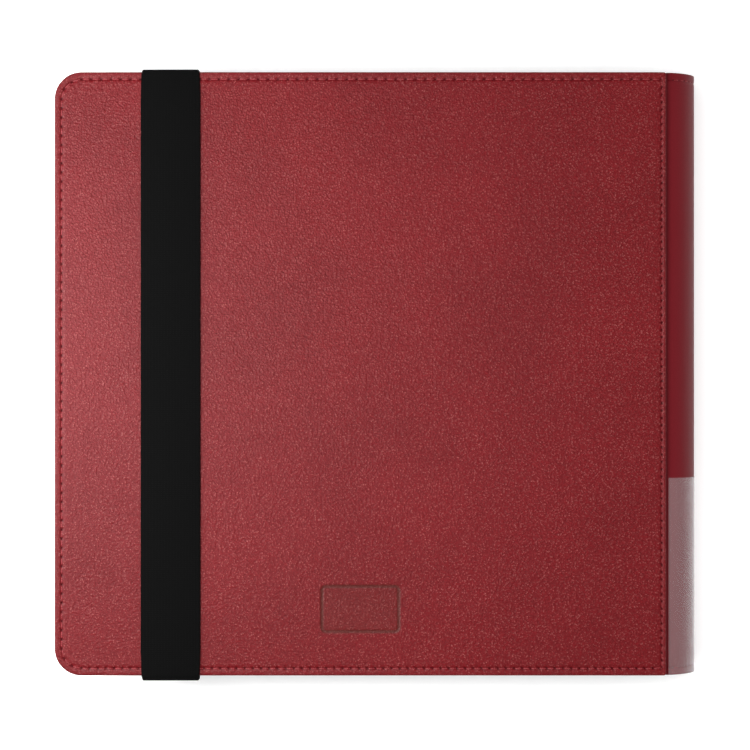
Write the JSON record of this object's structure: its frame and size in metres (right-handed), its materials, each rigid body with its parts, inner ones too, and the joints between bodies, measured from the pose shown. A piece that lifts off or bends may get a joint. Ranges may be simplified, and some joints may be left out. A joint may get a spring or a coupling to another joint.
{
  "type": "trading card binder",
  "caption": "Leatherette card binder with a rounded spine, clear spine label pocket, side-loading pocket pages and an elastic strap closure.",
  "frame": {"origin": "under the middle of the closed binder, on the surface that it lies on", "axes": "+X from the fore edge to the spine, +Y up the page, +Z through the closed binder from the front cover to the back cover"},
  "size_m": [0.3468, 0.3264, 0.0512],
  "materials": {
    "cover_leatherette": "grained leatherette, satin",
    "spine_leatherette": "smooth leatherette, satin",
    "greyboard": "bare pressed board",
    "lining_cloth": "black woven lining",
    "thread": "tone-on-tone polyester thread",
    "stiffener": "black polypropylene sheet",
    "clear_film": "clear flexible film",
    "binding_plastic": "black moulded polypropylene",
    "hinge_tape": "black coated cloth",
    "strap_elastic": "black woven elastic, matte",
    "page_sheet": "black polypropylene sheet under clear film"
  },
  "bodies": {
    "front_cover": {"front_cover_wrap": "cover_leatherette", "front_cover_board": "greyboard", "front_cover_lining": "lining_cloth", "front_cover_stitching": "thread", "front_hinge_strip": "hinge_tape"},
    "spine": {"spine_wrap": "spine_leatherette", "spine_stiffener": "stiffener", "spine_lining": "lining_cloth", "spine_stitching": "thread", "label_pocket": "clear_film", "binding_channel": "binding_plastic"},
    "back_cover": {"back_cover_wrap": "cover_leatherette", "back_cover_board": "greyboard", "back_cover_lining": "lining_cloth", "back_cover_stitching": "thread", "back_hinge_strip": "hinge_tape", "strap_end_top": "strap_elastic", "strap_end_bottom": "strap_elastic"},
    "strap": {"strap": "strap_elastic"},
    "page_01": {"page_01": "page_sheet"},
    "page_02": {"page_02": "page_sheet"},
    "page_03": {"page_03": "page_sheet"},
    "page_04": {"page_04": "page_sheet"},
    "page_05": {"page_05": "page_sheet"},
    "page_06": {"page_06": "page_sheet"},
    "page_07": {"page_07": "page_sheet"},
    "page_08": {"page_08": "page_sheet"},
    "page_09": {"page_09": "page_sheet"},
    "page_10": {"page_10": "page_sheet"},
    "page_11": {"page_11": "page_sheet"},
    "page_12": {"page_12": "page_sheet"},
    "page_13": {"page_13": "page_sheet"},
    "page_14": {"page_14": "page_sheet"},
    "page_15": {"page_15": "page_sheet"},
    "page_16": {"page_16": "page_sheet"},
    "page_17": {"page_17": "page_sheet"},
    "page_18": {"page_18": "page_sheet"},
    "page_19": {"page_19": "page_sheet"},
    "page_20": {"page_20": "page_sheet"},
    "page_21": {"page_21": "page_sheet"},
    "page_22": {"page_22": "page_sheet"},
    "page_23": {"page_23": "page_sheet"},
    "page_24": {"page_24": "page_sheet"}
  },
  "joints": [
    {"name": "spine_fold", "type": "hinge", "parent": "front_cover", "child": "spine", "pos_m": [0.15485, 0, 0.0036], "axis": [0, 1, 0], "range_deg": [0, 90]},
    {"name": "back_cover_open", "type": "hinge", "parent": "spine", "child": "back_cover", "pos_m": [0.15485, 0, 0.0477], "axis": [0, 1, 0], "range_deg": [0, 90]},
    {"name": "strap_pull", "type": "slide", "parent": "back_cover", "child": "strap", "axis": [-1, 0, 0], "range_m": [0, 0.085], "stiffness_N_per_m": 100},
    {"name": "page_01_turn", "type": "hinge", "parent": "spine", "child": "page_01", "pos_m": [0.14955, 0, 0.00487], "axis": [0, 1, 0], "range_deg": [-77.01, 0]},
    {"name": "page_02_turn", "type": "hinge", "parent": "spine", "child": "page_02", "pos_m": [0.14955, 0, 0.00662], "axis": [0, 1, 0], "range_deg": [-70.32, 0]},
    {"name": "page_03_turn", "type": "hinge", "parent": "spine", "child": "page_03", "pos_m": [0.14955, 0, 0.00838], "axis": [0, 1, 0], "range_deg": [-63.62, 0]},
    {"name": "page_04_turn", "type": "hinge", "parent": "spine", "child": "page_04", "pos_m": [0.14955, 0, 0.01013], "axis": [0, 1, 0], "range_deg": [-56.93, 0]},
    {"name": "page_05_turn", "type": "hinge", "parent": "spine", "child": "page_05", "pos_m": [0.14955, 0, 0.01188], "axis": [0, 1, 0], "range_deg": [-50.23, 0]},
    {"name": "page_06_turn", "type": "hinge", "parent": "spine", "child": "page_06", "pos_m": [0.14955, 0, 0.01362], "axis": [0, 1, 0], "range_deg": [-43.53, 0]},
    {"name": "page_07_turn", "type": "hinge", "parent": "spine", "child": "page_07", "pos_m": [0.14955, 0, 0.01537], "axis": [0, 1, 0], "range_deg": [-36.84, 0]},
    {"name": "page_08_turn", "type": "hinge", "parent": "spine", "child": "page_08", "pos_m": [0.14955, 0, 0.01713], "axis": [0, 1, 0], "range_deg": [-30.14, 0]},
    {"name": "page_09_turn", "type": "hinge", "parent": "spine", "child": "page_09", "pos_m": [0.14955, 0, 0.01887], "axis": [0, 1, 0], "range_deg": [-23.45, 0]},
    {"name": "page_10_turn", "type": "hinge", "parent": "spine", "child": "page_10", "pos_m": [0.14955, 0, 0.02063], "axis": [0, 1, 0], "range_deg": [-16.75, 0]},
    {"name": "page_11_turn", "type": "hinge", "parent": "spine", "child": "page_11", "pos_m": [0.14955, 0, 0.02237], "axis": [0, 1, 0], "range_deg": [-10.05, 0]},
    {"name": "page_12_turn", "type": "hinge", "parent": "spine", "child": "page_12", "pos_m": [0.14955, 0, 0.02413], "axis": [0, 1, 0], "range_deg": [-3.36, 0]},
    {"name": "page_13_turn", "type": "hinge", "parent": "spine", "child": "page_13", "pos_m": [0.14955, 0, 0.02587], "axis": [0, 1, 0], "range_deg": [0, 3.36]},
    {"name": "page_14_turn", "type": "hinge", "parent": "spine", "child": "page_14", "pos_m": [0.14955, 0, 0.02763], "axis": [0, 1, 0], "range_deg": [0, 10.05]},
    {"name": "page_15_turn", "type": "hinge", "parent": "spine", "child": "page_15", "pos_m": [0.14955, 0, 0.02937], "axis": [0, 1, 0], "range_deg": [0, 16.75]},
    {"name": "page_16_turn", "type": "hinge", "parent": "spine", "child": "page_16", "pos_m": [0.14955, 0, 0.03112], "axis": [0, 1, 0], "range_deg": [0, 23.45]},
    {"name": "page_17_turn", "type": "hinge", "parent": "spine", "child": "page_17", "pos_m": [0.14955, 0, 0.03288], "axis": [0, 1, 0], "range_deg": [0, 30.14]},
    {"name": "page_18_turn", "type": "hinge", "parent": "spine", "child": "page_18", "pos_m": [0.14955, 0, 0.03463], "axis": [0, 1, 0], "range_deg": [0, 36.84]},
    {"name": "page_19_turn", "type": "hinge", "parent": "spine", "child": "page_19", "pos_m": [0.14955, 0, 0.03637], "axis": [0, 1, 0], "range_deg": [0, 43.53]},
    {"name": "page_20_turn", "type": "hinge", "parent": "spine", "child": "page_20", "pos_m": [0.14955, 0, 0.03812], "axis": [0, 1, 0], "range_deg": [0, 50.23]},
    {"name": "page_21_turn", "type": "hinge", "parent": "spine", "child": "page_21", "pos_m": [0.14955, 0, 0.03988], "axis": [0, 1, 0], "range_deg": [0, 56.93]},
    {"name": "page_22_turn", "type": "hinge", "parent": "spine", "child": "page_22", "pos_m": [0.14955, 0, 0.04163], "axis": [0, 1, 0], "range_deg": [0, 63.62]},
    {"name": "page_23_turn", "type": "hinge", "parent": "spine", "child": "page_23", "pos_m": [0.14955, 0, 0.04337], "axis": [0, 1, 0], "range_deg": [0, 70.32]},
    {"name": "page_24_turn", "type": "hinge", "parent": "spine", "child": "page_24", "pos_m": [0.14955, 0, 0.04512], "axis": [0, 1, 0], "range_deg": [0, 77.01]}
  ],
  "couplings": [
    {"joint": "back_cover_open", "follows": "spine_fold", "ratio": 1},
    {"joint": "page_01_turn", "follows": "spine_fold", "ratio": -0.8556},
    {"joint": "page_02_turn", "follows": "spine_fold", "ratio": -0.7812},
    {"joint": "page_03_turn", "follows": "spine_fold", "ratio": -0.7068},
    {"joint": "page_04_turn", "follows": "spine_fold", "ratio": -0.6324},
    {"joint": "page_05_turn", "follows": "spine_fold", "ratio": -0.558},
    {"joint": "page_06_turn", "follows": "spine_fold", "ratio": -0.4836},
    {"joint": "page_07_turn", "follows": "spine_fold", "ratio": -0.4092},
    {"joint": "page_08_turn", "follows": "spine_fold", "ratio": -0.3348},
    {"joint": "page_09_turn", "follows": "spine_fold", "ratio": -0.2604},
    {"joint": "page_10_turn", "follows": "spine_fold", "ratio": -0.186},
    {"joint": "page_11_turn", "follows": "spine_fold", "ratio": -0.1116},
    {"joint": "page_12_turn", "follows": "spine_fold", "ratio": -0.0372},
    {"joint": "page_13_turn", "follows": "spine_fold", "ratio": 0.0372},
    {"joint": "page_14_turn", "follows": "spine_fold", "ratio": 0.1116},
    {"joint": "page_15_turn", "follows": "spine_fold", "ratio": 0.186},
    {"joint": "page_16_turn", "follows": "spine_fold", "ratio": 0.2604},
    {"joint": "page_17_turn", "follows": "spine_fold", "ratio": 0.3348},
    {"joint": "page_18_turn", "follows": "spine_fold", "ratio": 0.4092},
    {"joint": "page_19_turn", "follows": "spine_fold", "ratio": 0.4836},
    {"joint": "page_20_turn", "follows": "spine_fold", "ratio": 0.558},
    {"joint": "page_21_turn", "follows": "spine_fold", "ratio": 0.6324},
    {"joint": "page_22_turn", "follows": "spine_fold", "ratio": 0.7068},
    {"joint": "page_23_turn", "follows": "spine_fold", "ratio": 0.7812},
    {"joint": "page_24_turn", "follows": "spine_fold", "ratio": 0.8556}
  ]
}
